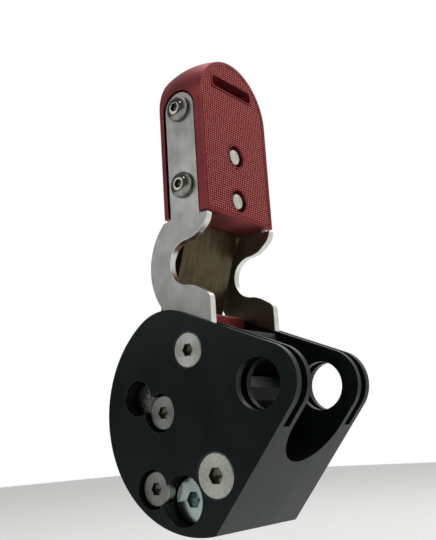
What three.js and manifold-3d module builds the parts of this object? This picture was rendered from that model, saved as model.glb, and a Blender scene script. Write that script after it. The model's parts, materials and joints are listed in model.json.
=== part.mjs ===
// Rope clutch with a raised lever handle, drawn in millimetres with +Z up.
// The origin is on the mounting pin's axis, in the middle plane. +X points out of the
// rope mouth, and the handle closes by turning forwards and down about its axle.
import * as THREE from 'three';
import { mergeVertices } from 'three/addons/utils/BufferGeometryUtils.js';
import Module from 'manifold-3d';

const wasm = await Module();
wasm.setup();

// ---------------------------------------------------------------- driving dimensions

const gap = 0.3;                  // left between pieces that touch
const past = 5;                   // how far a cutting tool runs past what it cuts

// body, across its width (Y)
const bodyHalf = 23.5;
const outerCheek = 2.4;
const slotWidth = 3.6;
const innerCheek = 2.2;
const slotOuter = bodyHalf - outerCheek;
const slotInner = slotOuter - slotWidth;
const channelHalf = slotInner - innerCheek;

// body outline, in the X-Z plane
const back = { x: 6.2, z: 28.1, r: 39.5 };
const nose = { x: 35.7, z: 35.5, r: 12.3 };
const crownRadius = 20;
const topSlope = THREE.MathUtils.degToRad(23.1);
const frontSlope = THREE.MathUtils.degToRad(50.1);
const channelFloor = 10.2;
const channelRound = channelHalf * Math.sin(frontSlope);

// handle geometry: the hooks swing from above the axle onto the load pin hole
const axle = { x: 5.4, z: 49.2, r: 5, flat: 4.1 };
const hookReach = 31.2;
const closedAngle = THREE.MathUtils.degToRad(116.5);
const hookRadius = 8.1;
const hook = { x: axle.x, z: axle.z + hookReach };
const loadHole = {
  x: axle.x + hookReach * Math.sin(closedAngle),
  z: axle.z + hookReach * Math.cos(closedAngle),
  r: 8.4,
};

// side plates of the handle
const plateThickness = 3;
const plateInner = slotInner + gap;
const plateOuter = plateInner + plateThickness;
const plateBoss = 9.1;
const stemHalf = 6.7;
const stemTop = 138.3;
const shoulder = 97.4;
const lipFront = 10;              // how far the upper lip stands in front of the axle
const bow = { x: 11.1, z: 79.6, r: 23.3 };   // rounded back of the side plates

// web between the side plates: a leaning block with a thin tongue up inside the grip
const web = {
  half: 14.9, tongue: 3, top: 130, neck: 97, bend: 96, tail: 76.5, lowest: 66, heel: -13.6,
  lean: THREE.MathUtils.degToRad(18),
};
web.front = hook.x - hookRadius - 0.5 + (web.bend - hook.z) * Math.tan(web.lean);

// grip
const gripBottom = 97.8;
const gripDepth = 19.5;
const gripArch = { z: 140, r: 22.8 };
const gripCrown = 32;
const lanyard = { half: 12, z0: 148, z1: 152.5, corner: 1.6 };
const plateScrewHeights = [108.8, stemTop];
const gripScrewHeights = [105, 122.6];
const gripFront = axle.x + gripDepth / 2;
const gripBack = axle.x - gripDepth / 2;

// pins and screws
const jawPin = { x: -18.5, z: 34.9, r: 5.9 };
const mountPin = { x: 0, z: 0, r: 8.1 };
const pinNearEnd = -18;
const pinFarEnd = 19.7;
const jawRetainer = { x: -8.6, z: 29.2, length: 5.6, hole: 7.9 };
const mountRetainer = { x: -13.3, z: 3.9, length: 13, hole: 15 };
const baseScrew = { x: 14.3, z: 7.7 };
const seatScrewXs = [-14.5, 16.5];
const axleScrew = { head: 6, sink: 2.6, shank: 2.7, socket: 4, length: 12, hole: 4 };
const baseBolt = { head: 7.3, sink: 3.3, shank: 3.9, socket: 5, length: 14, hole: 14.5 };
const retainer = { head: 6.1, sink: 5.4, top: 2, height: 3.1, shank: 2.4, socket: 4 };
const plateScrew = { head: 4.75, dome: 2.7, rim: 0.4, shank: 2.3, socket: 3, length: 14 };
const gripScrew = { head: 3.1, height: 3, shank: 1.9, recess: 4.25, sunk: 0.8, length: 16 };
const seatScrew = { head: 3.6, sink: 1.8, shank: 1.8, socket: 2.5, length: 8 };
const bush = { outer: 6.4, inner: axle.r + gap };
const jawWasherRadius = 8.8;
const knockOut = { jaw: 3, mount: 4 };      // small holes behind the blind ends of the pins

// clamping parts inside the channel
const camHalf = 14.6;
const eccentric = { offset: 3, r: 10, flatTop: 56 };
const eccentricLift = closedAngle - Math.PI / 2;   // puts its centre under the axle when closed
eccentric.x = axle.x + eccentric.offset * Math.cos(eccentricLift);
eccentric.z = axle.z + eccentric.offset * Math.sin(eccentricLift);
const camBlock = { x0: -6.8, x1: 3.6, half: 13.4, top: 64, foot: 58, heel: 53, taper: 3.2, corner: 2.4 };
const blockScrew = { x: -0.4, y: 7, sunk: 0.3, head: 2.25, height: 2.4, shank: 1.25, end: 53.2, socket: 2 };
const jawHalf = 14.1;
const jawEar = 9.3;
const jawTop = 39.7;
const jawTip = 21.8;
const jawTurn = THREE.MathUtils.degToRad(11);
const tooth = { pitch: 4, depth: 1.3, front: 20, rear: -8, level: 28.6, slope: 0.1 };
const earGap = 5.5;
const seat = { x0: -20, x1: 22, thickness: 2.3, spread: THREE.MathUtils.degToRad(62) };
const seatRib = { pitch: 6, groove: 2, depth: 0.8, spread: 1.2 };
const seatTop = channelFloor + gap + seat.thickness;
const spring = {
  coil: 7.7, wire: 0.8, y: 3.6, hole: 1.3, legZ: 36.4, sweep: THREE.MathUtils.degToRad(3 * 360 + 36.5),
  anchorReach: 12.7, anchorTurn: 0.75 * Math.PI,
};

// ---------------------------------------------------------------- materials

const finishes = {
  blackAnodised: { color: 0x1c1f22, roughness: 0.42, metalness: 0.6 },
  redAnodised: { color: 0x8a1c22, roughness: 0.4, metalness: 0.55 },
  stainless: { color: 0xb9bab6, roughness: 0.3, metalness: 0.95 },
  zinc: { color: 0xb9c6cc, roughness: 0.25, metalness: 0.9 },
  hardenedSteel: { color: 0x6a6c6b, roughness: 0.45, metalness: 0.85 },
  blackSteel: { color: 0x2b2c2c, roughness: 0.4, metalness: 0.85 },
  springSteel: { color: 0x8d8f90, roughness: 0.35, metalness: 0.9 },
  acetal: { color: 0xd8d6cc, roughness: 0.5, metalness: 0 },
};

// ---------------------------------------------------------------- solids

// A closed geometry as a Manifold, with its faces turned outwards.
function solid(geometry) {
  geometry.deleteAttribute('normal');
  geometry.deleteAttribute('uv');
  const merged = mergeVertices(geometry, 1e-4);
  const vertProperties = new Float32Array(merged.attributes.position.array);
  const triVerts = new Uint32Array(merged.index.array);
  const corner = [new THREE.Vector3(), new THREE.Vector3(), new THREE.Vector3()];
  let volume = 0;
  for (let t = 0; t < triVerts.length; t += 3) {
    corner.forEach((v, k) => v.fromArray(vertProperties, 3 * triVerts[t + k]));
    volume += corner[0].dot(corner[1].cross(corner[2]));
  }
  if (volume < 0) triVerts.reverse();
  return new wasm.Manifold(new wasm.Mesh({ numProp: 3, vertProperties, triVerts }));
}

// A shape drawn in X-Z and pulled along Y.
function prismY(shape, y0, y1, curveSegments = 4) {
  const options = { depth: y1 - y0, bevelEnabled: false, curveSegments };
  const geometry = new THREE.ExtrudeGeometry(shape, options);
  return solid(geometry.rotateX(Math.PI / 2).translate(0, y1, 0));
}

// A shape drawn in Y-Z and pulled along X.
function prismX(shape, x0, x1, curveSegments = 4) {
  const options = { depth: x1 - x0, bevelEnabled: false, curveSegments };
  const geometry = new THREE.ExtrudeGeometry(shape, options);
  return solid(geometry.rotateX(Math.PI / 2).rotateZ(Math.PI / 2).translate(x0, 0, 0));
}

// A shape drawn in X-Y and pulled along Z.
function prismZ(shape, z0, z1) {
  const options = { depth: z1 - z0, bevelEnabled: false };
  return solid(new THREE.ExtrudeGeometry(shape, options).translate(0, 0, z0));
}

// A profile of [radius, distance] pairs turned about an axis that leaves `at` along `dir`.
function turned(profile, at, dir, segments = 20) {
  const points = profile.map(([r, d]) => new THREE.Vector2(r, d));
  const geometry = new THREE.LatheGeometry(points, segments);
  const turn = new THREE.Quaternion().setFromUnitVectors(
    new THREE.Vector3(0, 1, 0), new THREE.Vector3(...dir));
  geometry.applyQuaternion(turn).translate(...at);
  return solid(geometry);
}

function cylinder(r, at, dir, length, segments = 20) {
  return turned([[0, 0], [r, 0], [r, length], [0, length]], at, dir, segments);
}

// A cylinder along Y between two distances, about a point in X-Z.
function boreY(centre, r, y0, y1, segments = 24) {
  return cylinder(r, [centre.x, y0, centre.z], [0, 1, 0], y1 - y0, segments);
}

// A hexagonal socket, `across` its flats, sunk from `at` along `dir`.
function hexSocket(across, at, dir, depth) {
  return cylinder(across / Math.sqrt(3), at, dir, depth, 6);
}

function polygon(points) {
  return new THREE.Shape(points.map(([a, b]) => new THREE.Vector2(a, b)));
}

function mesh(name, manifold, finish) {
  const result = manifold.getMesh();
  const geometry = new THREE.BufferGeometry();
  geometry.setAttribute('position', new THREE.BufferAttribute(result.vertProperties, 3));
  geometry.setIndex(new THREE.BufferAttribute(result.triVerts, 1));
  const piece = new THREE.Mesh(geometry, new THREE.MeshStandardMaterial(finishes[finish]));
  piece.name = name;
  return piece;
}

// ---------------------------------------------------------------- body

// Unit vectors of the closed handle: along it, and square to it on its leading side.
const along = new THREE.Vector2(Math.sin(closedAngle), Math.cos(closedAngle));
const leading = new THREE.Vector2(Math.cos(closedAngle), -Math.sin(closedAngle));

function bodyOutline() {
  const noseCentre = new THREE.Vector2(nose.x, nose.z);
  const backCentre = new THREE.Vector2(back.x, back.z);
  const frontNormal = new THREE.Vector2(Math.sin(frontSlope), -Math.cos(frontSlope));
  const topNormal = new THREE.Vector2(Math.sin(topSlope), Math.cos(topSlope));
  const downFront = new THREE.Vector2(-Math.cos(frontSlope), -Math.sin(frontSlope));
  const upTop = new THREE.Vector2(-Math.cos(topSlope), Math.sin(topSlope));

  // the lowest corner: where the front face runs into the back arc
  const frontStart = noseCentre.clone().addScaledVector(frontNormal, nose.r);
  const corner = meetCircle(frontStart, downFront, backCentre, back.r);

  // the crown: an arc that joins the top face to the back arc
  const topStart = noseCentre.clone().addScaledVector(topNormal, nose.r);
  const crownPath = topStart.clone().addScaledVector(topNormal, -crownRadius);
  const crown = meetCircle(crownPath, upTop, backCentre, back.r - crownRadius);
  const crownTurn = crown.clone().sub(backCentre).angle();

  const shape = new THREE.Shape();
  shape.moveTo(corner.x, corner.y);
  shape.lineTo(frontStart.x, frontStart.y);
  shape.absarc(nose.x, nose.z, nose.r, frontNormal.angle() - 2 * Math.PI, topNormal.angle());
  shape.absarc(crown.x, crown.y, crownRadius, topNormal.angle(), crownTurn);
  shape.absarc(back.x, back.z, back.r, crownTurn, corner.clone().sub(backCentre).angle());
  return shape;
}

// The farther point where a ray from `start` along the unit vector `dir` meets a circle.
function meetCircle(start, dir, centre, radius) {
  const offset = start.clone().sub(centre);
  const half = offset.dot(dir);
  const reach = -half + Math.sqrt(half * half - offset.lengthSq() + radius * radius);
  return start.clone().addScaledVector(dir, reach);
}

// The slot for a side plate: its floor stops the closed hooks, its back wall the open handle.
function slotOutline() {
  const clear = plateBoss + 0.5;
  const floorTurn = leading.angle();
  const centre = new THREE.Vector2(axle.x, axle.z);
  const floorEnd = centre.clone().addScaledVector(leading, clear).addScaledVector(along, 60);
  const topEnd = floorEnd.clone().addScaledVector(leading, -80);
  const shape = new THREE.Shape();
  shape.moveTo(floorEnd.x, floorEnd.y);
  shape.lineTo(topEnd.x, topEnd.y);
  shape.lineTo(-12.5, 84);
  shape.lineTo(-10.2, 66.5);
  shape.lineTo(axle.x - clear, 59);
  shape.lineTo(axle.x - clear, axle.z);
  shape.absarc(axle.x, axle.z, clear, Math.PI, floorTurn);
  return shape;
}

// The rope channel is rounded so that its mouth is a half circle on the sloping front face.
function channelOutline() {
  const shape = new THREE.Shape();
  const centre = channelFloor + channelRound;
  shape.absellipse(0, centre, channelHalf, channelRound, Math.PI, 2 * Math.PI);
  shape.lineTo(channelHalf, back.z + back.r + past);
  shape.lineTo(-channelHalf, back.z + back.r + past);
  return shape;
}

// Where the spring's fixed leg enters the near cheek, `turn` further round the jaw pin.
function springAnchor(turn = 0) {
  const angle = spring.anchorTurn - turn;
  return {
    x: jawPin.x + spring.anchorReach * Math.cos(angle),
    z: jawPin.z + spring.anchorReach * Math.sin(angle),
  };
}

// Countersink for a flat head that sits flush, on the side that `side` points to.
function countersink(centre, screw, side) {
  const wide = screw.head + gap;
  const narrow = screw.shank + gap;
  const profile = [[0, -past], [wide, -past], [wide, 0], [wide - screw.sink, screw.sink],
    [narrow, screw.sink], [narrow, screw.hole], [0, screw.hole]];
  return turned(profile, [centre.x, side * bodyHalf, centre.z], [0, -side, 0]);
}

function makeBody() {
  const face = -bodyHalf;
  let body = prismY(bodyOutline(), -bodyHalf, bodyHalf, 9);
  const cuts = [prismX(channelOutline(), back.x - back.r - past, nose.x + nose.r + past, 7)];
  for (const side of [-1, 1]) {
    const [y0, y1] = side < 0 ? [-slotOuter, -slotInner] : [slotInner, slotOuter];
    cuts.push(prismY(slotOutline(), y0, y1));
    cuts.push(countersink(axle, axleScrew, side));
    cuts.push(countersink(baseScrew, baseBolt, side));
  }
  cuts.push(boreY(axle, bush.outer + gap, -slotInner - 0.2, slotInner + 0.2));
  cuts.push(boreY(loadHole, loadHole.r, face - past, bodyHalf + past, 32));

  // pin bores open on the near side, with a small knock-out hole on the far side
  cuts.push(boreY(jawPin, jawPin.r + gap, face - past, pinFarEnd + gap));
  cuts.push(boreY(jawPin, knockOut.jaw, pinFarEnd, bodyHalf + past, 12));
  cuts.push(boreY(mountPin, mountPin.r + gap, face - past, pinFarEnd + gap));
  cuts.push(boreY(mountPin, knockOut.mount, pinFarEnd, bodyHalf + past, 12));

  // sunk seats and tapped holes for the two screws that keep the pins in
  for (const screw of [jawRetainer, mountRetainer]) {
    cuts.push(boreY(screw, retainer.head + 2 * gap, face - past, face + retainer.sink));
    cuts.push(boreY(screw, retainer.shank + gap, face, face + screw.hole + gap, 12));
  }
  for (const x of seatScrewXs) {
    cuts.push(cylinder(seatScrew.shank + gap, [x, 0, 2.5], [0, 0, 1], 12, 12));
  }

  // short curved groove for the spring's fixed leg
  for (const share of [0, 0.5, 1]) {
    const groove = springAnchor(share * jawTurn);
    cuts.push(boreY(groove, spring.hole, -channelHalf - 2.2, 0, 8));
  }
  for (const cut of cuts) body = body.subtract(cut);
  return mesh('body', body, 'blackAnodised');
}

// ---------------------------------------------------------------- screws and pins

function flatHeadScrew(name, centre, spec, side) {
  const start = [centre.x, side * (bodyHalf - 0.1), centre.z];
  const inwards = [0, -side, 0];
  const profile = [[0, 0], [spec.head, 0], [spec.head - spec.sink, spec.sink],
    [spec.shank, spec.sink], [spec.shank, spec.length], [0, spec.length]];
  const screw = turned(profile, start, inwards, 24);
  return mesh(name, screw.subtract(hexSocket(spec.socket, start, inwards, 2.4)), 'stainless');
}

function retainingScrew(name, { x, z, length }) {
  const start = [x, -bodyHalf + retainer.top, z];
  const r = retainer.head;
  const profile = [[0, 0], [r - 0.6, 0], [r, 0.6], [r, retainer.height],
    [retainer.shank, retainer.height], [retainer.shank, length], [0, length]];
  const screw = turned(profile, start, [0, 1, 0], 24);
  const socket = hexSocket(retainer.socket, start, [0, 1, 0], 2);
  return mesh(name, screw.subtract(socket), 'hardenedSteel');
}

function pin(centre, radius) {
  const length = pinFarEnd - pinNearEnd;
  const bevel = 0.8;
  const profile = [[0, 0], [radius - bevel, 0], [radius, bevel], [radius, length - bevel],
    [radius - bevel, length], [0, length]];
  return turned(profile, [centre.x, pinNearEnd, centre.z], [0, 1, 0], 24);
}

function makeMountPin() {
  const socket = hexSocket(5, [mountPin.x, pinNearEnd, mountPin.z], [0, 1, 0], 5);
  return mesh('mount_pin', pin(mountPin, mountPin.r).subtract(socket), 'zinc');
}

// Round-headed screw that holds a side plate to the grip.
function plateScrewMesh(name, z, side) {
  const start = [axle.x, side * (plateOuter + 0.2), z];
  const outwards = [0, side, 0];
  const { head, dome, rim, shank, length } = plateScrew;
  const flat = plateScrew.socket / 2 + 0.6;
  const profile = [[0, -length], [shank, -length], [shank, 0], [head, 0]];
  const steps = 3;
  for (let k = 0; k <= steps; k += 1) {
    const lift = (k / steps) * Math.PI / 2;
    profile.push([flat + (head - flat) * Math.cos(lift), rim + (dome - rim) * Math.sin(lift)]);
  }
  profile.push([0, dome]);
  const top = [axle.x, start[1] + side * dome, z];
  const socket = hexSocket(plateScrew.socket, top, [0, -side, 0], 1.6);
  return mesh(name, turned(profile, start, outwards).subtract(socket), 'stainless');
}

function gripScrewMesh(name, z) {
  const start = [gripFront - gripScrew.sunk, 0, z];
  const { head, height, shank, length } = gripScrew;
  const profile = [[0, 0], [head - 0.4, 0], [head, 0.4], [head, height],
    [shank, height], [shank, length], [0, length]];
  return mesh(name, turned(profile, start, [-1, 0, 0], 16), 'stainless');
}

function seatScrewMesh(name, x) {
  const start = [x, 0, seatTop - 0.2];
  const { head, sink, shank, length } = seatScrew;
  const profile = [[0, 0], [head, 0], [shank, sink], [shank, length], [0, length]];
  const socket = hexSocket(seatScrew.socket, start, [0, 0, -1], 1.5);
  return mesh(name, turned(profile, start, [0, 0, -1], 16).subtract(socket), 'stainless');
}

// Small cap screw that holds the red block down on the eccentric.
function blockScrewMesh(name, y) {
  const { x, sunk, head, height, shank, end, socket } = blockScrew;
  const start = [x, y, camBlock.top - sunk];
  const length = start[2] - end;
  const profile = [[0, 0], [head, 0], [head, height], [shank, height], [shank, length], [0, length]];
  const screw = turned(profile, start, [0, 0, -1], 12);
  return mesh(name, screw.subtract(hexSocket(socket, start, [0, 0, -1], 1.2)), 'hardenedSteel');
}

// ---------------------------------------------------------------- handle

// Round bar with two flats, drawn about the axle.
function flattedCircle(r, flat) {
  const turn = Math.acos(flat / r);
  const shape = new THREE.Shape();
  shape.absarc(axle.x, axle.z, r, turn, Math.PI - turn);
  shape.absarc(axle.x, axle.z, r, Math.PI + turn, 2 * Math.PI - turn);
  return shape;
}

function makeAxle() {
  const half = slotOuter - 2 * gap;
  let bar = boreY(axle, axle.r, -half, half);
  for (const side of [-1, 1]) {
    const [y0, y1] = side < 0 ? [-half - past, -slotInner] : [slotInner, half + past];
    const ends = boreY(axle, axle.r + 1, y0, y1).subtract(
      prismY(flattedCircle(axle.r + 1, axle.flat), y0 - 1, y1 + 1));
    bar = bar.subtract(ends);
    const bore = axleScrew.shank + gap;
    bar = bar.subtract(cylinder(bore, [axle.x, side * (half + 1), axle.z], [0, -side, 0], 11, 12));
  }
  const middle = boreY(axle, axle.r + 1, -camHalf, camHalf).subtract(
    prismY(flattedCircle(axle.r + 1, axle.flat), -camHalf - 1, camHalf + 1));
  return mesh('pivot_axle', bar.subtract(middle), 'stainless');
}

function sidePlateOutline() {
  const front = axle.x + plateBoss;
  const rear = axle.x - plateBoss;
  const bowDrop = Math.acos((bow.x - rear) / bow.r);
  const bowTop = Math.asin((shoulder - bow.z) / bow.r);
  const tip = axle.x + lipFront;
  const shape = new THREE.Shape();
  shape.absarc(axle.x, axle.z, plateBoss, Math.PI, 2 * Math.PI);
  shape.lineTo(front, hook.z - 14.4);
  shape.quadraticCurveTo(front, hook.z - 12.2, front - 2.6, hook.z - 11.1);
  shape.quadraticCurveTo(hook.x + 3.5, hook.z - 8.9, hook.x, hook.z - hookRadius);
  shape.absarc(hook.x, hook.z, hookRadius, 1.5 * Math.PI, 0.5 * Math.PI, true);
  shape.quadraticCurveTo(hook.x + 4, hook.z + 8.6, hook.x + 6, hook.z + 10.5);
  shape.quadraticCurveTo(tip, hook.z + 13, tip, shoulder - 0.5);
  shape.lineTo(axle.x + stemHalf, shoulder - 0.5);
  shape.lineTo(axle.x + stemHalf, stemTop);
  shape.absarc(axle.x, stemTop, stemHalf, 0, Math.PI);
  shape.lineTo(axle.x - stemHalf, shoulder);
  shape.absarc(bow.x, bow.z, bow.r, Math.PI - bowTop, Math.PI + bowDrop);
  return shape;
}

function makeSidePlate(name, side) {
  const [y0, y1] = side < 0 ? [-plateOuter, -plateInner] : [plateInner, plateOuter];
  let plate = prismY(sidePlateOutline(), y0, y1, 6);
  const bore = flattedCircle(axle.r + gap, axle.flat + gap);
  plate = plate.subtract(prismY(bore, y0 - 1, y1 + 1));
  for (const z of plateScrewHeights) {
    plate = plate.subtract(boreY({ x: axle.x, z }, plateScrew.shank + gap, y0 - 1, y1 + 1, 16));
  }
  return mesh(name, plate, 'stainless');
}

// Closes the back of the handle; its tongue is screwed inside the grip.
function makeWeb() {
  const tongueBack = web.front - web.tongue;
  const foot = web.front - (web.bend - web.lowest) * Math.tan(web.lean);
  const backRadius = bow.r - 2 * gap;
  const rise = Math.asin((web.neck - bow.z) / backRadius);
  const drop = Math.asin((bow.z - web.tail) / backRadius);
  const shape = new THREE.Shape();
  shape.moveTo(web.heel, web.lowest);
  shape.lineTo(foot, web.lowest);
  shape.lineTo(web.front, web.bend);
  shape.lineTo(web.front, web.top);
  shape.lineTo(tongueBack, web.top);
  shape.lineTo(tongueBack, web.neck);
  shape.absarc(bow.x, bow.z, backRadius, Math.PI - rise, Math.PI + drop);
  let plate = prismY(shape, -web.half, web.half, 5);
  for (const z of gripScrewHeights) {
    const start = [web.front + 1, 0, z];
    plate = plate.subtract(cylinder(gripScrew.shank + gap, start, [-1, 0, 0], 2 * web.tongue, 12));
  }
  return mesh('web_plate', plate, 'stainless');
}

// Half the grip's width at a distance `dx` in front of or behind its middle.
function gripHalfWidth(dx) {
  return gripArch.r - gripCrown + Math.sqrt(gripCrown * gripCrown - dx * dx);
}

function makeGrip() {
  const steps = 6;
  const crown = [];
  for (let k = 0; k <= steps; k += 1) {
    const dx = gripDepth * (k / steps - 0.5);
    crown.push([gripHalfWidth(dx), dx]);
  }
  const section = polygon([
    ...crown.map(([w, dx]) => [axle.x + dx, w]),
    ...crown.map(([w, dx]) => [axle.x - dx, -w]),
  ]);
  const profile = [[0, -gripDepth / 2], ...crown, [0, gripDepth / 2]];
  const arch = turned(profile, [axle.x, 0, gripArch.z], [1, 0, 0], 44);
  let grip = prismZ(section, gripBottom, gripArch.z).add(arch);

  const clear = stemHalf + 0.7;
  const pocket = new THREE.Shape();
  pocket.absarc(axle.x, stemTop, clear, 0, Math.PI);
  pocket.lineTo(axle.x - clear, gripBottom - past);
  pocket.lineTo(axle.x + clear, gripBottom - past);
  for (const [y0, y1] of [[-gripArch.r - past, -slotInner], [slotInner, gripArch.r + past]]) {
    grip = grip.subtract(prismY(pocket, y0, y1, 7));
  }

  const slot = new THREE.Shape();
  slot.absarc(lanyard.half - lanyard.corner, lanyard.z0 + lanyard.corner, lanyard.corner,
    1.5 * Math.PI, 2 * Math.PI);
  slot.absarc(lanyard.half - lanyard.corner, lanyard.z1 - lanyard.corner, lanyard.corner,
    0, 0.5 * Math.PI);
  slot.absarc(lanyard.corner - lanyard.half, lanyard.z1 - lanyard.corner, lanyard.corner,
    0.5 * Math.PI, Math.PI);
  slot.absarc(lanyard.corner - lanyard.half, lanyard.z0 + lanyard.corner, lanyard.corner,
    Math.PI, 1.5 * Math.PI);
  grip = grip.subtract(prismX(slot, gripBack - past, gripFront + past, 2));

  const webSlot = polygon([
    [web.front + gap, gripBottom - past], [web.front + gap, web.top + gap],
    [web.front - web.tongue - gap, web.top + gap],
    [web.front - web.tongue - gap, gripBottom - past],
  ]);
  grip = grip.subtract(prismY(webSlot, -web.half - gap, web.half + gap));

  for (const z of gripScrewHeights) {
    const mouth = [gripFront + 1, 0, z];
    const sunk = 1 + gripScrew.sunk + gripScrew.height + gap;
    grip = grip.subtract(cylinder(gripScrew.recess, mouth, [-1, 0, 0], sunk, 20));
    const hole = sunk + gripScrew.length - gripScrew.height;
    grip = grip.subtract(cylinder(gripScrew.shank + gap, mouth, [-1, 0, 0], hole, 12));
  }
  for (const z of plateScrewHeights) {
    for (const side of [-1, 1]) {
      const mouth = [axle.x, side * (slotInner + 1), z];
      grip = grip.subtract(cylinder(plateScrew.shank + gap, mouth, [0, -side, 0], 12, 16));
    }
  }
  return mesh('grip', grip, 'redAnodised');
}

// The eccentric's round form with its idle top cut flat, `extra` larger all round.
function eccentricForm(half, extra = 0) {
  const { x, z, r, flatTop } = eccentric;
  const above = polygon([
    [x - 2 * r, flatTop + extra], [x + 2 * r, flatTop + extra], [x + 2 * r, z + 2 * r],
    [x - 2 * r, z + 2 * r],
  ]);
  return boreY({ x, z }, r + extra, -half, half, 36).subtract(prismY(above, -half - 1, half + 1));
}

// Eccentric keyed on the axle: it presses the jaw down as the handle closes.
function makeDriveCam() {
  const bore = flattedCircle(axle.r + gap, axle.flat + gap);
  let cam = eccentricForm(camHalf).subtract(prismY(bore, -camHalf - 1, camHalf + 1));
  for (const y of [-blockScrew.y, blockScrew.y]) {
    const bottom = [blockScrew.x, y, blockScrew.end - gap];
    cam = cam.subtract(cylinder(blockScrew.shank + gap, bottom, [0, 0, 1], 2 * past, 12));
  }
  return mesh('drive_cam', cam, 'blackSteel');
}

// Red block that sits on the eccentric, between the side plates.
function makeCamBlock() {
  const { x0, x1, half, top, foot, heel, taper, corner } = camBlock;
  const shape = new THREE.Shape();
  shape.absarc(x1 - corner, top - corner, corner, 0, 0.5 * Math.PI);
  shape.absarc(x0 + corner, top - corner, corner, 0.5 * Math.PI, Math.PI);
  shape.lineTo(x0, foot);
  shape.lineTo(x0 + taper, heel);
  shape.lineTo(x1, heel);
  let block = prismY(shape, -half, half).subtract(eccentricForm(half + 1, gap));
  for (const y of [-blockScrew.y, blockScrew.y]) {
    const above = [blockScrew.x, y, top + past];
    const recess = past + blockScrew.sunk + blockScrew.height + gap;
    block = block.subtract(cylinder(blockScrew.head + gap, above, [0, 0, -1], recess, 16));
    block = block.subtract(cylinder(blockScrew.shank + gap, above, [0, 0, -1], top, 12));
  }
  return mesh('cam_block', block, 'redAnodised');
}

// ---------------------------------------------------------------- clamp

// Toothed jaw that turns on the jaw pin; two ears leave room for its spring.
function makeJaw() {
  const teeth = [];
  for (let x = tooth.front; x > tooth.rear; x -= tooth.pitch) {
    const level = tooth.level - (tooth.front - x) * tooth.slope;
    teeth.push([x, level], [x - tooth.pitch * 0.75, level + tooth.depth]);
  }
  const arm = polygon([
    [jawPin.x, jawPin.z + jawEar], [-9, jawTop], [jawTip - 4.3, jawTop], [jawTip, jawTop - 4.3],
    [jawTip, 31], ...teeth, [jawPin.x, jawPin.z - jawEar],
  ]);
  let jaw = prismY(arm, -jawHalf, jawHalf).add(boreY(jawPin, jawEar, -jawHalf, jawHalf));
  jaw = jaw.subtract(boreY(jawPin, jawPin.r + gap, -jawHalf - 1, jawHalf + 1));
  const window = polygon([[-32, 20], [-8, 20], [-8, 48], [-32, 48]]);
  jaw = jaw.subtract(prismY(window, -earGap, earGap));
  const legHole = cylinder(spring.hole, [-9, spring.y, spring.legZ], [1, 0, 0], 7, 8);
  return mesh('clamp_jaw', jaw.subtract(legHole), 'blackSteel');
}

// Torsion spring round the jaw pin that lifts the jaw off the rope. One leg is hooked into
// the near cheek, the other runs forwards into the jaw.
function makeSpring() {
  const { coil, wire, y, sweep } = spring;
  const firstTurn = spring.anchorTurn - Math.acos(coil / spring.anchorReach);
  const anchor = springAnchor();
  const points = [
    new THREE.Vector3(anchor.x, -channelHalf - 1.8, anchor.z),
    new THREE.Vector3(anchor.x, -y - 3, anchor.z),
    new THREE.Vector3(anchor.x + 1.2, -y, anchor.z - 0.2),
  ];
  const steps = 36;
  for (let k = 0; k <= steps; k += 1) {
    const turn = firstTurn - sweep * k / steps;
    points.push(new THREE.Vector3(
      jawPin.x + coil * Math.cos(turn),
      y * (2 * k / steps - 1),
      jawPin.z + coil * Math.sin(turn)));
  }
  points.push(new THREE.Vector3(-9.4, y, spring.legZ + 0.3));
  points.push(new THREE.Vector3(-3, y, spring.legZ));
  const section = new THREE.Shape();
  section.absarc(0, 0, wire, 0, 2 * Math.PI);
  const geometry = new THREE.ExtrudeGeometry(section, {
    steps: 64,
    extrudePath: new THREE.CatmullRomCurve3(points, false, 'centripetal'),
    bevelEnabled: false,
    curveSegments: 3,
  });
  return mesh('jaw_spring', solid(geometry), 'springSteel');
}

function ring(name, inner, outer, centre, y0, y1, finish) {
  const disc = boreY(centre, outer, y0, y1);
  return mesh(name, disc.subtract(boreY(centre, inner, y0 - 1, y1 + 1)), finish);
}

// Ribbed saddle on the channel floor that the rope is clamped against.
function makeSeat() {
  const centre = channelFloor + channelRound;
  const bottom = 1.5 * Math.PI;
  const trough = (inset, start, end, clockwise) => [0, centre,
    channelHalf - inset, channelRound - inset, start, end, clockwise];
  const shape = new THREE.Shape();
  shape.absellipse(...trough(gap, bottom - seat.spread, bottom + seat.spread, false));
  shape.absellipse(...trough(gap + seat.thickness, bottom + seat.spread, bottom - seat.spread, true));
  let saddle = prismX(shape, seat.x0, seat.x1, 5);

  const groove = new THREE.Shape();
  const grooveInset = gap + seat.thickness - seatRib.depth;
  groove.absellipse(...trough(grooveInset, bottom - seatRib.spread, bottom + seatRib.spread, false));
  for (let x = seat.x0 + seatRib.pitch / 2; x < seat.x1; x += seatRib.pitch) {
    saddle = saddle.subtract(prismX(groove, x - seatRib.groove / 2, x + seatRib.groove / 2, 5));
  }
  for (const x of seatScrewXs) {
    const top = [x, 0, seatTop + 2];
    const { head, sink, shank } = seatScrew;
    const profile = [[0, 0], [head + gap, 0], [head + gap, 2.2], [shank + gap, 2.2 + sink],
      [shank + gap, 8], [0, 8]];
    saddle = saddle.subtract(turned(profile, top, [0, 0, -1], 12));
  }
  return mesh('rope_seat', saddle, 'blackSteel');
}

// ---------------------------------------------------------------- assembly

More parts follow.
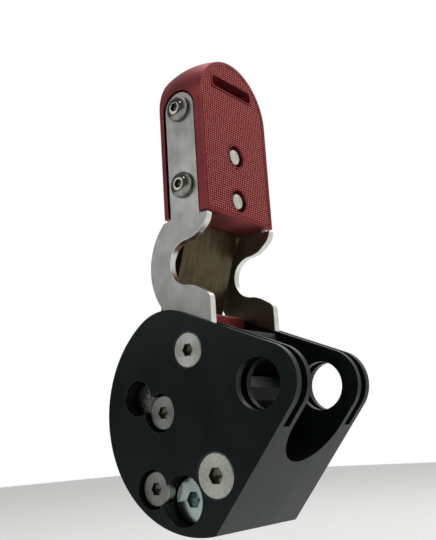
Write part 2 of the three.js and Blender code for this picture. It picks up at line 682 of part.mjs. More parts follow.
const clutch = new THREE.Group();
clutch.add(makeBody(), makeSeat(), makeMountPin());
clutch.add(mesh('jaw_pin', pin(jawPin, jawPin.r), 'hardenedSteel'));
clutch.add(retainingScrew('jaw_pin_screw', jawRetainer));
clutch.add(retainingScrew('mount_pin_screw', mountRetainer));
seatScrewXs.forEach((x, k) => clutch.add(seatScrewMesh(`seat_screw_${['rear', 'front'][k]}`, x)));
clutch.add(makeJaw(), makeSpring());
clutch.add(makeAxle(), makeDriveCam(), makeCamBlock(), makeWeb(), makeGrip());
gripScrewHeights.forEach((z, k) => {
  clutch.add(gripScrewMesh(`grip_screw_${['lower', 'upper'][k]}`, z));
});
for (const [label, side] of [['near', -1], ['far', 1]]) {
  clutch.add(blockScrewMesh(`block_screw_${label}`, side * blockScrew.y));
  clutch.add(makeSidePlate(`side_plate_${label}`, side));
  clutch.add(flatHeadScrew(`axle_screw_${label}`, axle, axleScrew, side));
  clutch.add(flatHeadScrew(`base_screw_${label}`, baseScrew, baseBolt, side));
  const bushRange = side < 0 ? [0.1 - slotInner, -channelHalf] : [channelHalf, slotInner - 0.1];
  clutch.add(ring(`axle_bush_${label}`, bush.inner, bush.outer, axle, ...bushRange, 'acetal'));
  const washer = side < 0 ? [gap - channelHalf, -jawHalf - gap] : [jawHalf + gap, channelHalf - gap];
  clutch.add(ring(`jaw_washer_${label}`, jawPin.r + gap, jawWasherRadius, jawPin, ...washer, 'acetal'));
  plateScrewHeights.forEach((z, k) => {
    clutch.add(plateScrewMesh(`plate_screw_${label}_${['lower', 'upper'][k]}`, z, side));
  });
}

export default clutch;
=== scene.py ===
"""Looks of the rope clutch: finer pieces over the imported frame, their finishes, light and camera.

Lengths are in millimetres in the part's own frame and become metres when a mesh is made.
"""

import json
from math import acos, asin, cos, degrees, hypot, pi, radians, sin, sqrt, tan

import bmesh
import bpy
from mathutils import Matrix, Vector


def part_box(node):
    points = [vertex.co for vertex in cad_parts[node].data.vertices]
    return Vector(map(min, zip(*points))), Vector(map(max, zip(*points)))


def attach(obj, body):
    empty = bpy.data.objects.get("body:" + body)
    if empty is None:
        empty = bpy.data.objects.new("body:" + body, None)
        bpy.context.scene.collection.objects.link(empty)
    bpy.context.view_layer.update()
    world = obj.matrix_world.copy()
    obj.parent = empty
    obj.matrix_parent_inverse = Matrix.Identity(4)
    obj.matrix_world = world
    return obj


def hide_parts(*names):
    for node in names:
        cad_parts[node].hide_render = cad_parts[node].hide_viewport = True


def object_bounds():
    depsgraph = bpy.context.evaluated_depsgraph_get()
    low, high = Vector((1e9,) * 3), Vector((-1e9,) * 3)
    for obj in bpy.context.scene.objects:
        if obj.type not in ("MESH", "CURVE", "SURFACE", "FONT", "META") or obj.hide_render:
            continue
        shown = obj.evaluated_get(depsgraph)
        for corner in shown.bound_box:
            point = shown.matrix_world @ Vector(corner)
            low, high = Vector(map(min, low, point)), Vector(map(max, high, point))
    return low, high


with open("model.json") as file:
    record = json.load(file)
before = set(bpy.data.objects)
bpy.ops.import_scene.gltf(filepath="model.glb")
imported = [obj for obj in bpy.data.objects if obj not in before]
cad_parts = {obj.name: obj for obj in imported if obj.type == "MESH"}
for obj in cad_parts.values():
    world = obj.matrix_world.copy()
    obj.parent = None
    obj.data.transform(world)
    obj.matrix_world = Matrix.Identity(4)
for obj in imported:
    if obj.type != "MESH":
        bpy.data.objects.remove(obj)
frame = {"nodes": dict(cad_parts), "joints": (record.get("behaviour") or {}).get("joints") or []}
cad_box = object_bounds()
MM = 0.001

# ---------------------------------------------------------------- places read from the frame


def span(node):
    """Lowest and highest corner of a CAD node, in millimetres."""
    low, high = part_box(node)
    return low / MM, high / MM


def middle(node):
    low, high = span(node)
    return (low + high) / 2


def radius(node):
    """Radius of a round CAD node that lies along X or Y: half its height."""
    low, high = span(node)
    return (high.z - low.z) / 2


CLOSED = radians(next(j["range_deg"][1] for j in frame["joints"] if j["name"] == "handle_close"))
AXLE = middle("axle_screw_near")
JAW_PIN = middle("jaw_pin")
BODY_HALF = span("body")[1].y
PLATE_OUTER = span("side_plate_far")[1].y
WEB_HALF = span("web_plate")[1].y
WEB_BEND = 96
WEB_NECK = 97
WEB_TAIL = 76.5
WEB_LEAN = radians(18)
TONGUE = 3
CAM_HALF = span("drive_cam")[1].y
JAW_HALF = span("clamp_jaw")[1].y
GRIP_LOW, GRIP_HIGH = span("grip")
PLATE_SCREWS = [middle("plate_screw_near_lower").z, middle("plate_screw_near_upper").z]
GRIP_SCREWS = [middle("grip_screw_lower").z, middle("grip_screw_upper").z]
PIN_FACE = span("mount_pin")[0].y

# ---------------------------------------------------------------- sizes shared by several pieces

GAP = 0.3                     # left between pieces that touch
PAST = 5                      # how far a cutting tool runs past what it cuts
SHARP_ANGLE = radians(32)     # edges that turn more than this are rounded
OUTER_CHEEK = 2.4
SLOT = 3.6
INNER_CHEEK = 2.2
SLOT_OUTER = BODY_HALF - OUTER_CHEEK
SLOT_INNER = SLOT_OUTER - SLOT
CHANNEL_HALF = SLOT_INNER - INNER_CHEEK
CHANNEL_FLOOR = 10.2
BACK = Vector((6.2, 28.1))
BACK_RADIUS = 39.5
NOSE = Vector((35.7, 35.5))
NOSE_RADIUS = 12.3
CROWN_RADIUS = 20
TOP_SLOPE = radians(23.1)
FRONT_SLOPE = radians(50.1)
CHANNEL_ROUND = CHANNEL_HALF * sin(FRONT_SLOPE)

HOOK_REACH = 31.2
HOOK = Vector((AXLE.x, AXLE.z + HOOK_REACH))
HOOK_RADIUS = 8.1
LOAD_HOLE = Vector((AXLE.x + HOOK_REACH * sin(CLOSED), AXLE.z + HOOK_REACH * cos(CLOSED)))
LOAD_RADIUS = 8.4
BOSS = 9.1
STEM_HALF = 6.7
SHOULDER = 97.4
BOW = Vector((11.1, 79.6))
BOW_RADIUS = 23.3
AXLE_RADIUS = 5
AXLE_FLAT = 4.1
ECCENTRIC_RADIUS = 10
ECCENTRIC = Vector((AXLE.x + 3 * sin(pi - CLOSED), 0, AXLE.z - 3 * cos(CLOSED)))

GRIP_CROWN = 32
GRIP_MIDDLE = (GRIP_LOW.x + GRIP_HIGH.x) / 2
GRIP_HALF_DEPTH = (GRIP_HIGH.x - GRIP_LOW.x) / 2
GRIP_RADIUS = GRIP_HIGH.y
ARCH_HEIGHT = 140
KNURL_PITCH = (1.2, 0.9)
KNURL_DEPTH = 0.45
KNURL_SUNK = 0.02             # how far the knurl's points stay under the grip's face
KNURL_BORDER = 1.3            # smooth rim round the knurl
SCREW_ISLAND = 4.7            # radius kept smooth round a screw in the knurl

LANYARD_HALF = 12
LANYARD_LOW, LANYARD_HIGH = 148, 152.5
LANYARD_CORNER = 1.6
LANYARD_RIM = 0.5             # kept smooth round the slot

SIDES = ((-1, "near"), (1, "far"))
AXLE_SCREW = {"socket": 4, "sink": 2.6, "shank": 2.7, "length": 12, "hole": 4}
BASE_SCREW = {"socket": 5, "sink": 3.3, "shank": 3.9, "length": 14, "hole": 14.5}
PLATE_SCREW_HOLE = 2.6
GRIP_SCREW_HOLE = 2.2
GRIP_HEAD_HOLE = 4.25
RETAINER_SEAT_DEPTH = 5.4
RETAINER_HOLE = 2.7
BLOCK_SCREW_HOLE = 1.55
BUSH_BORE = 6.7
SPRING_Y = 3.6
SPRING_LEG = 36.4

# ---------------------------------------------------------------- outlines


def arc(x, z, r, start, end, step=3):
    """Points on a circle from one angle to another, in degrees, about `step` degrees apart."""
    count = max(2, round(abs(end - start) / step))
    turns = [radians(start + (end - start) * k / count) for k in range(count + 1)]
    return [(x + r * cos(t), z + r * sin(t)) for t in turns]


def bend(start, control, end, count=10):
    """Points on a quadratic curve, without its first point."""
    result = []
    for k in range(1, count + 1):
        t = k / count
        weights = ((1 - t) ** 2, 2 * t * (1 - t), t ** 2)
        result.append(tuple(sum(w * p[i] for w, p in zip(weights, (start, control, end)))
                            for i in range(2)))
    return result


def turn_of(vector):
    """Direction of a 2-D vector in degrees, from 0 to 360."""
    return degrees(-Vector((1, 0)).angle_signed(vector)) % 360


def meet_circle(start, direction, centre, r):
    """The farther point where a ray meets a circle."""
    offset = start - centre
    half = offset.dot(direction)
    return start + direction * (-half + sqrt(half * half - offset.length_squared + r * r))


def body_outline():
    """Outer shape of the body: round nose, sloping top, crown and round back."""
    front_normal = Vector((sin(FRONT_SLOPE), -cos(FRONT_SLOPE)))
    top_normal = Vector((sin(TOP_SLOPE), cos(TOP_SLOPE)))
    down_front = Vector((-cos(FRONT_SLOPE), -sin(FRONT_SLOPE)))
    up_top = Vector((-cos(TOP_SLOPE), sin(TOP_SLOPE)))
    corner = meet_circle(NOSE + front_normal * NOSE_RADIUS, down_front, BACK, BACK_RADIUS)
    crown_path = NOSE + top_normal * (NOSE_RADIUS - CROWN_RADIUS)
    crown = meet_circle(crown_path, up_top, BACK, BACK_RADIUS - CROWN_RADIUS)
    crown_turn = turn_of(crown - BACK)
    return (arc(*NOSE, NOSE_RADIUS, turn_of(front_normal) - 360, turn_of(top_normal), 2)
            + arc(*crown, CROWN_RADIUS, turn_of(top_normal), crown_turn, 2)[1:]
            + arc(*BACK, BACK_RADIUS, crown_turn, turn_of(corner - BACK), 2)[1:])


def slot_outline():
    """Room for a side plate inside a cheek, from raised to closed."""
    along = Vector((sin(CLOSED), cos(CLOSED)))
    leading = Vector((cos(CLOSED), -sin(CLOSED)))
    clear = BOSS + 0.5
    length, width = 60, 80
    axle = Vector((AXLE.x, AXLE.z))
    floor_end = axle + leading * clear + along * length
    top_end = floor_end - leading * width
    return [tuple(floor_end), tuple(top_end), (-12.5, 84), (-10.2, 66.5), (AXLE.x - clear, 59),
            *arc(*axle, clear, 180, turn_of(leading))]


def trough(inset, start, end):
    """Part of the channel's rounded floor, `inset` inside it, as Y-Z points."""
    centre = CHANNEL_FLOOR + CHANNEL_ROUND
    points = arc(0, 0, 1, start, end)
    return [(y * (CHANNEL_HALF - inset), centre + z * (CHANNEL_ROUND - inset)) for y, z in points]


def channel_outline():
    top = BACK.y + BACK_RADIUS + PAST
    return trough(0, 180, 360) + [(CHANNEL_HALF, top), (-CHANNEL_HALF, top)]


def flatted(r, flat):
    """Round bar about the axle with a flat above and below, `flat` from its middle."""
    turn = degrees(acos(flat / r))
    return (arc(AXLE.x, AXLE.z, r, turn, 180 - turn)
            + arc(AXLE.x, AXLE.z, r, 180 + turn, 360 - turn))


def side_plate_outline():
    """Round boss on the axle, hook open to the front, stem up into the grip and bowed back.

    The bow's last point is left out, so the rear edge leans back up to 0.9 mm past the CAD's
    and about 0.2 mm of it stands in the slot's wall at rest.
    """
    front = AXLE.x + BOSS
    rear = AXLE.x - BOSS
    bow_drop = degrees(acos((BOW.x - rear) / BOW_RADIUS))
    bow_top = degrees(asin((SHOULDER - BOW.y) / BOW_RADIUS))
    tip = AXLE.x + 10
    x, z = HOOK
    nose = (front - 2.6, z - 11.1)
    lip = (x + 6, z + 10.5)
    return (arc(AXLE.x, AXLE.z, BOSS, 180, 360)
            + [(front, z - 14.4)]
            + bend((front, z - 14.4), (front, z - 12.2), nose)
            + bend(nose, (x + 3.5, z - 8.9), (x, z - HOOK_RADIUS))
            + arc(x, z, HOOK_RADIUS, 270, 90)[1:]
            + bend((x, z + HOOK_RADIUS), (x + 4, z + 8.6), lip)
            + bend(lip, (tip, z + 13), (tip, SHOULDER - 0.5))
            + [(AXLE.x + STEM_HALF, SHOULDER - 0.5)]
            + arc(AXLE.x, PLATE_SCREWS[1], STEM_HALF, 0, 180)
            + [(AXLE.x - STEM_HALF, SHOULDER)]
            + arc(*BOW, BOW_RADIUS, 180 - bow_top, 180 + bow_drop)[1:-1])


def web_outline():
    """A leaning block with an arched back, and a thin tongue up inside the grip."""
    low, high = span("web_plate")
    front = HOOK.x - HOOK_RADIUS - 0.5 + (WEB_BEND - HOOK.y) * tan(WEB_LEAN)
    foot = front - (WEB_BEND - low.z) * tan(WEB_LEAN)
    back_radius = BOW_RADIUS - 2 * GAP
    rise = degrees(asin((WEB_NECK - BOW.y) / back_radius))
    drop = degrees(asin((BOW.y - WEB_TAIL) / back_radius))
    return ([(low.x, low.z), (foot, low.z), (front, WEB_BEND), (front, high.z),
             (front - TONGUE, high.z), (front - TONGUE, WEB_NECK)]
            + arc(*BOW, back_radius, 180 - rise, 180 + drop))


# ---------------------------------------------------------------- meshes

# where a point (a, b) of an outline lies once it is moved by d along an axis
PLACE = {
    "X": lambda a, b, d: (d, a, b),
    "Y": lambda a, b, d: (a, d, b),
    "Z": lambda a, b, d: (a, b, d),
}


def new_object(name, verts, faces):
    mesh = bpy.data.meshes.new(name)
    mesh.from_pydata([Vector(v) * MM for v in verts], [], faces)
    work = bmesh.new()
    work.from_mesh(mesh)
    bmesh.ops.remove_doubles(work, verts=work.verts, dist=1e-7)
    bmesh.ops.recalc_face_normals(work, faces=work.faces)
    work.to_mesh(mesh)
    work.free()
    obj = bpy.data.objects.new(name, mesh)
    bpy.context.scene.collection.objects.link(obj)
    return obj


def rectangle(left, bottom, right, top):
    return [(left, bottom), (right, bottom), (right, top), (left, top)]


def prism(name, outline, axis, low, high):
    """A flat outline pulled along X, Y or Z."""
    count = len(outline)
    verts = [PLACE[axis](a, b, d) for d in (low, high) for a, b in outline]
    sides = [(k, (k + 1) % count, count + (k + 1) % count, count + k) for k in range(count)]
    caps = [tuple(reversed(range(count))), tuple(range(count, 2 * count))]
    return new_object(name, verts, caps + sides)


def turned(name, profile, at, direction, segments=72):
    """A profile of (radius, distance) pairs turned about an axis; its own Z is that axis."""
    rings = []
    verts = []
    for r, d in profile:
        if r < 1e-6:
            rings.append([len(verts)] * segments)
            verts.append((0, 0, d))
        else:
            rings.append(list(range(len(verts), len(verts) + segments)))
            verts += [(r * cos(2 * pi * k / segments), r * sin(2 * pi * k / segments), d)
                      for k in range(segments)]
    faces = []
    for lower, upper in zip(rings, rings[1:]):
        for k in range(segments):
            n = (k + 1) % segments
            corners = [lower[k], lower[n], upper[n], upper[k]]
            unique = list(dict.fromkeys(corners))
            if len(unique) > 2:
                faces.append(tuple(unique))
    obj = new_object(name, verts, faces)
    turn = Vector((0, 0, 1)).rotation_difference(Vector(direction)).to_matrix().to_4x4()
    obj.matrix_world = Matrix.Translation(Vector(at) * MM) @ turn
    return obj


def cylinder(r, at, direction, length, segments=64):
    return turned("tool", [(0, 0), (r, 0), (r, length), (0, length)], at, direction, segments)


def bore(centre, r, low, high, segments=64):
    """A cylinder along Y about a point that has x and z."""
    return cylinder(r, (centre.x, low, centre.z), (0, 1, 0), high - low, segments)


def at_xz(x, z):
    return Vector((x, 0, z))


def hex_socket(across, at, direction, depth, lead=0.6):
    """Six-sided socket with a conical lead-in, `lead` mm wider, and a drill point at its end."""
    r = across / sqrt(3)
    profile = [(0, -1), (r + lead, -1), (r - 0.02, 0.12), (r, depth), (r * 0.75, depth),
               (0, depth + 0.8)]
    return turned("tool", profile, at, direction, 6)


def boolean(obj, tools, operation="DIFFERENCE"):
    """Cuts the tools out of obj, or joins them to it, and removes them."""
    group = bpy.data.collections.new("tools")
    for tool in tools:
        group.objects.link(tool)
    step = obj.modifiers.new("boolean", "BOOLEAN")
    step.operation = operation
    step.solver = "EXACT"
    step.operand_type = "COLLECTION"
    step.collection = group
    bpy.context.view_layer.update()
    evaluated = obj.evaluated_get(bpy.context.evaluated_depsgraph_get())
    result = bpy.data.meshes.new_from_object(evaluated)
    obj.modifiers.clear()
    obj.data = result
    for tool in tools:
        bpy.data.objects.remove(tool)
    bpy.data.collections.remove(group)
    return obj


# ---------------------------------------------------------------- finishes


class Finish:
    """A metal or plastic finish built from nodes, with textures measured in millimetres."""

    def __init__(self, name, metallic):
        self.material = bpy.data.materials.new(name)
        self.material.use_nodes = True
        self.tree = self.material.node_tree
        self.shader = self.tree.nodes["Principled BSDF"]
        self.shader.inputs["Metallic"].default_value = metallic
        coords = self.tree.nodes.new("ShaderNodeTexCoord")
        self.place = self.add("ShaderNodeVectorMath", coords.outputs["Object"], operation="SCALE")
        self.place.inputs["Scale"].default_value = 1 / MM
        self.place = self.place.outputs["Vector"]

    def add(self, kind, *inputs, **settings):
        node = self.tree.nodes.new(kind)
        for key, value in settings.items():
            setattr(node, key, value)
        for socket, value in zip(node.inputs, inputs):
            self.feed(socket, value)
        return node

    def feed(self, socket, value):
        if isinstance(value, bpy.types.NodeSocket):
            self.tree.links.new(value, socket)
        elif value is not None:
            socket.default_value = value

    def math(self, operation, a, b=None):
        return self.add("ShaderNodeMath", a, b, operation=operation).outputs[0]

    def mixed(self, a, b, share):
        """`share` of a and the rest of b."""
        return self.math("ADD", self.math("MULTIPLY", a, share), self.math("MULTIPLY", b, 1 - share))

    def noise(self, size, detail=3, stretch=(1, 1, 1)):
        """Noise with features of about `size` mm, drawn out along axes whose stretch is over 1."""
        shrink = [1 / s for s in stretch]
        scale = self.add("ShaderNodeVectorMath", self.place, shrink, operation="MULTIPLY")
        node = self.add("ShaderNodeTexNoise")
        self.feed(node.inputs["Vector"], scale.outputs[0])
        node.inputs["Scale"].default_value = 1 / size
        node.inputs["Detail"].default_value = detail
        return node.outputs[0]

    def remap(self, value, low, high, to_low=0, to_high=1):
        node = self.add("ShaderNodeMapRange")
        for key, item in zip(("Value", "From Min", "From Max", "To Min", "To Max"),
                             (value, low, high, to_low, to_high)):
            self.feed(node.inputs[key], item)
        return node.outputs[0]

    def blend(self, factor, a, b):
        node = self.add("ShaderNodeMix", data_type="RGBA")
        self.feed(node.inputs["Factor"], factor)
        for socket, value in zip((s for s in node.inputs if s.type == "RGBA"), (a, b)):
            self.feed(socket, (*value, 1) if isinstance(value, tuple) else value)
        return next(s for s in node.outputs if s.type == "RGBA")

    def coordinate(self, axis):
        return self.add("ShaderNodeSeparateXYZ", self.place).outputs[axis]

    def rings(self, pitch):
        """Turning marks: waves of the distance from the piece's own Z axis."""
        flat = self.add("ShaderNodeVectorMath", self.place, (1, 1, 0), operation="MULTIPLY")
        reach = self.add("ShaderNodeVectorMath", flat.outputs[0], operation="LENGTH")
        return self.math("SINE", self.math("MULTIPLY", reach.outputs["Value"], 2 * pi / pitch))

    def bump(self, height, depth):
        """Relief of `depth` millimetres, on top of any relief already there."""
        node = self.add("ShaderNodeBump")
        node.inputs["Strength"].default_value = 1
        node.inputs["Distance"].default_value = depth * MM
        self.feed(node.inputs["Height"], height)
        normal = self.shader.inputs["Normal"]
        if normal.is_linked:
            self.feed(node.inputs["Normal"], normal.links[0].from_socket)
        self.feed(normal, node.outputs["Normal"])

    def color(self, value):
        self.feed(self.shader.inputs["Base Color"], value)

    def roughness(self, value):
        self.feed(self.shader.inputs["Roughness"], value)


def anodised(name, dark, light, low, high, metallic, grain=0.003):
    """Dyed or blackened metal: faintly cloudy colour, satin sheen and a very fine grain."""
    look = Finish(name, metallic)
    cloud = look.noise(9, 4)
    fine = look.noise(0.22, 2)
    look.color(look.blend(look.remap(cloud, 0.35, 0.65), dark, light))
    rub = look.noise(14, 3)
    tone = look.math("ADD", rub, look.math("MULTIPLY", fine, 0.1))
    look.roughness(look.remap(tone, 0.35, 0.8, low, high))
    look.bump(fine, grain)
    return look


def brushed(name, dark, light, low, high, along=(1, 1, 40), grain=0.003, lined=0.3):
    """Metal with grinding lines along one axis, `lined` strong, and faint cloudy stains."""
    look = Finish(name, 1.0)
    lines = look.noise(0.35, 3, along)
    cloud = look.noise(6, 3)
    tone = look.mixed(lines, cloud, lined)
    look.color(look.blend(look.remap(tone, 0.35, 0.65), dark, light))
    look.roughness(look.remap(tone, 0.3, 0.7, high, low))
    look.bump(lines, grain)
    return look


def turned_metal(name, dark, light, low, high, pitch=0.18, depth=0.006):
    """Machined metal with turning marks and small blotches."""
    look = Finish(name, 1.0)
    blotch = look.noise(1.4, 4)
    look.color(look.blend(look.remap(blotch, 0.35, 0.65), dark, light))
    look.roughness(look.remap(blotch, 0.3, 0.7, low, high))
    look.bump(look.rings(pitch), depth)
    look.bump(look.noise(0.3, 2), 0.004)
    return look


def knurled(name, valley, tip, relief):
    """Red anodising with painted shade in the knurl's valleys and a painted highlight on its tips,
    `relief` mm above its valleys.
    """
    look = Finish(name, 1.0)
    height = look.math("ABSOLUTE", look.math("SUBTRACT", look.coordinate("X"), GRIP_MIDDLE))
    rise = look.remap(height, GRIP_HALF_DEPTH - relief, GRIP_HALF_DEPTH)
    uneven = look.math("ADD", rise, look.math("MULTIPLY", look.noise(0.9, 3), 0.25))
    # colour runs with height from the valleys' painted shade to the tips' painted highlight
    look.color(look.blend(look.remap(uneven, 0.35, 1.05), valley, tip))
    look.roughness(look.remap(look.noise(0.5, 2), 0.3, 0.7, 0.28, 0.45))
    look.bump(look.noise(0.2, 2), 0.01)
    return look


def streaked(name, dark, light, low, high):
    """Smooth plate with soft brown streaks that run up and down it."""
    look = Finish(name, 1.0)
    broad = look.noise(5, 3, (1, 1, 3))
    narrow = look.noise(0.9, 3, (500, 1, 14))
    tone = look.mixed(broad, narrow, 0.55)
    look.color(look.blend(look.remap(tone, 0.34, 0.66), dark, light))
    look.roughness(look.remap(look.noise(5, 2), 0.3, 0.7, low, high))
    look.bump(narrow, 0.004)
    return look


BLACK = anodised("black_anodised", (0.0046, 0.0060, 0.0066), (0.0070, 0.0090, 0.0094), 0.26, 0.36, 0.0)
BLACK.shader.inputs["Specular IOR Level"].default_value = 0.2
BLACK.shader.inputs["Specular Tint"].default_value = (0.82, 1, 0.98, 1)
RED = anodised("red_anodised", (0.44, 0.085, 0.10), (0.50, 0.10, 0.115), 0.42, 0.5, 1.0)
# a darker copy of the red anodising for faces turned to the front or back: painted shade
RED_SHADED_FACE = anodised("red_face_painted_shade", (0.16, 0.020, 0.024), (0.22, 0.030, 0.034), 0.36, 0.5, 1.0)
RED_GLOSS = anodised("red_gloss", (0.34, 0.045, 0.05), (0.42, 0.065, 0.07), 0.12, 0.2, 1.0)
# dark valley and light tip colours: painted shade and painted highlight
KNURL = knurled("red_knurl_painted_shade", (0.20, 0.010, 0.016), (1.0, 0.40, 0.37), KNURL_DEPTH)
STEEL = brushed("satin_steel", (0.36, 0.362, 0.345), (0.43, 0.432, 0.415), 0.34, 0.42)
# a darker, warmer copy of the plate steel for the faces turned inwards: painted shade
INNER_SHADED = brushed("inner_steel_painted_shade", (0.30, 0.28, 0.225), (0.38, 0.355, 0.29), 0.32, 0.4)
EDGE = brushed("polished_edge", (0.62, 0.62, 0.58), (0.82, 0.81, 0.76), 0.26, 0.38, (1, 30, 1))
WEB = streaked("web_bronze", (0.052, 0.040, 0.020), (0.130, 0.102, 0.056), 0.28, 0.4)
HEAD = turned_metal("screw_head", (0.50, 0.505, 0.465), (0.64, 0.645, 0.595), 0.3, 0.42)
DULL_HEAD = turned_metal("retainer_head", (0.24, 0.245, 0.225), (0.34, 0.345, 0.32), 0.3, 0.42)
DOME = turned_metal("screw_dome", (0.24, 0.24, 0.21), (0.36, 0.36, 0.32), 0.08, 0.16, 0.4, 0.001)
# darker finish for the inside of screw sockets: painted shade in the recess
SOCKET_SHADE = turned_metal("screw_socket_painted_shade", (0.13, 0.125, 0.095), (0.24, 0.23, 0.18), 0.05, 0.1)
ZINC = turned_metal("zinc_plate", (0.44, 0.54, 0.53), (0.58, 0.68, 0.67), 0.14, 0.24, 0.5, 0.002)
DARK = anodised("dark_steel", (0.003, 0.0032, 0.003), (0.006, 0.0063, 0.006), 0.4, 0.5, 0.0, 0.008)
DARK.shader.inputs["Specular IOR Level"].default_value = 0.14
PIN_STEEL = turned_metal("pin_steel", (0.16, 0.16, 0.15), (0.30, 0.30, 0.28), 0.2, 0.34, 0.9, 0.01)
CHAMFER = turned_metal("cut_chamfer", (0.16, 0.165, 0.16), (0.26, 0.265, 0.26), 0.25, 0.4)
WIRE = brushed("spring_wire", (0.3, 0.3, 0.3), (0.45, 0.45, 0.44), 0.25, 0.4)
ACETAL = Finish("acetal", 0.0)
ACETAL.color(ACETAL.blend(ACETAL.noise(5, 2), (0.62, 0.60, 0.54), (0.70, 0.68, 0.62)))
ACETAL.roughness(ACETAL.remap(ACETAL.noise(0.4, 3), 0.3, 0.7, 0.4, 0.55))


def dress(obj, finish, edge=None, bevel=0.2, steps=2):
    """Gives a piece its finish and rounded edges. `edge` is the finish of the rounded edges."""
    obj.data.materials.clear()
    obj.data.materials.append(finish.material)
    if edge:
        obj.data.materials.append(edge.material)
    obj.data.shade_smooth()
    if bevel:
        rounding = obj.modifiers.new("edges", "BEVEL")
        rounding.width = bevel * MM
        rounding.segments = steps
        rounding.limit_method = "ANGLE"
        rounding.angle_limit = SHARP_ANGLE
        rounding.harden_normals = True
        rounding.use_clamp_overlap = True
        rounding.material = 1 if edge else -1
    return obj


def give_material(obj, finish, chosen):
    """Gives another finish to the faces that `chosen` accepts, by their centre in mm and normal."""
    obj.data.materials.append(finish.material)
    index = len(obj.data.materials) - 1
    for face in obj.data.polygons:
        if chosen(face.center / MM, face.normal):
            face.material_index = index


def paint_socket_shade(obj, across, depth, top=0):
    """Gives the inside of a hexagonal socket a darker finish, as painted shade; the piece's own Z is its
    axis.
    """
    reach = across / sqrt(3) + 0.35
    give_material(obj, SOCKET_SHADE, lambda centre, normal: hypot(centre.x, centre.y) < reach
                  and 0.03 < abs(centre.z - top) < depth + 1)


# ---------------------------------------------------------------- body


def pin_bore(pin, r, groove, face, end):
    """Blind bore with turned grooves in its wall, between the outer face and the sunk pin."""
    smooth, pitch = 0.4, 1.1
    depth = face + smooth
    profile = [(0, face - PAST), (r, face - PAST), (r, depth)]
    while depth < PIN_FACE - pitch:
        profile += [(r + groove, depth + pitch / 2), (r, depth + pitch)]
        depth += pitch
    profile += [(r, end), (0, end)]
    return turned("tool", profile, (pin.x, 0, pin.z), (0, 1, 0), 96)


def make_body():
    """Black body with its rope channel, two slots and the bores seen from outside.

    The CAD body also has a groove for the spring's leg and two holes for the seat screws.
    They are left out here, so the leg and these screws stand in solid metal.
    """
    face = -BODY_HALF
    body = prism("body_shell", body_outline(), "Y", -BODY_HALF, BODY_HALF)
    tools = [prism("tool", channel_outline(), "X", BACK.x - BACK_RADIUS - PAST,
                   NOSE.x + NOSE_RADIUS + PAST)]
    for low, high in ((-SLOT_OUTER, -SLOT_INNER), (SLOT_INNER, SLOT_OUTER)):
        tools.append(prism("tool", slot_outline(), "Y", low, high))
    tools.append(bore(at_xz(*LOAD_HOLE), LOAD_RADIUS, face - PAST, BODY_HALF + PAST, 96))
    tools.append(bore(AXLE, BUSH_BORE, -SLOT_INNER - 0.2, SLOT_INNER + 0.2))
    for node, spec in (("axle_screw_", AXLE_SCREW), ("base_screw_", BASE_SCREW)):
        for side, label in SIDES:
            screw = middle(node + label)
            r = radius(node + label) + 0.25
            profile = [(0, -PAST), (r, -PAST), (r, 0), (r - spec["sink"], spec["sink"]),
                       (r - spec["sink"], spec["hole"]), (0, spec["hole"])]
            at = (screw.x, side * BODY_HALF, screw.z)
            tools.append(turned("tool", profile, at, (0, -side, 0)))
    for node, knock_out, groove in (("jaw_pin", 3, 0.12), ("mount_pin", 4, 0.35)):
        pin = middle(node)
        end = span(node)[1].y + GAP
        tools.append(pin_bore(pin, radius(node) + GAP, groove, face, end))
        tools.append(bore(pin, knock_out, end - 1, BODY_HALF + PAST))
        screw = middle(node + "_screw")
        seat = radius(node + "_screw") + 2 * GAP
        tools.append(bore(screw, seat, face - PAST, face + RETAINER_SEAT_DEPTH, 96))
        tools.append(bore(screw, RETAINER_HOLE, face, span(node + "_screw")[1].y + GAP))
    boolean(body, tools)
    dress(body, BLACK, CHAMFER, bevel=0.18)
    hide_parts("body")
    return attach(body, "frame")


# ---------------------------------------------------------------- handle


def make_side_plate(label):
    """Hooked steel plate with polished edges, and a darker, warmer inner face that is painted shade."""
    low, high = (corner.y for corner in span(f"side_plate_{label}"))
    plate = prism(f"side_plate_{label}_fine", side_plate_outline(), "Y", low, high)
    tools = [prism("tool", flatted(AXLE_RADIUS + GAP, AXLE_FLAT + GAP), "Y", low - 1, high + 1)]
    tools += [bore(at_xz(AXLE.x, z), PLATE_SCREW_HOLE, low - 1, high + 1) for z in PLATE_SCREWS]
    boolean(plate, tools)
    dress(plate, STEEL, EDGE, bevel=0.25)
    give_material(plate, EDGE, lambda centre, normal: abs(normal.y) < 0.5)
    inwards = -1 if label == "far" else 1
    # the faces turned inwards get the darker steel: painted shade
    give_material(plate, INNER_SHADED, lambda centre, normal: normal.y * inwards > 0.5)
    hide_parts(f"side_plate_{label}")
    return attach(plate, "handle")


def crown(dx):
    """Half the grip's width, `dx` in front of its middle."""
    return GRIP_RADIUS - GRIP_CROWN + sqrt(GRIP_CROWN ** 2 - dx ** 2)


def lanyard_slot(margin=0):
    """Rounded slot across the arch, as Y-Z points, `margin` larger all round."""
    half, low, high = LANYARD_HALF + margin, LANYARD_LOW - margin, LANYARD_HIGH + margin
    corner = LANYARD_CORNER
    return (arc(half - corner, low + corner, corner, 270, 360, 15)
            + arc(half - corner, high - corner, corner, 0, 90, 15)
            + arc(corner - half, high - corner, corner, 90, 180, 15)
            + arc(corner - half, low + corner, corner, 180, 270, 15))


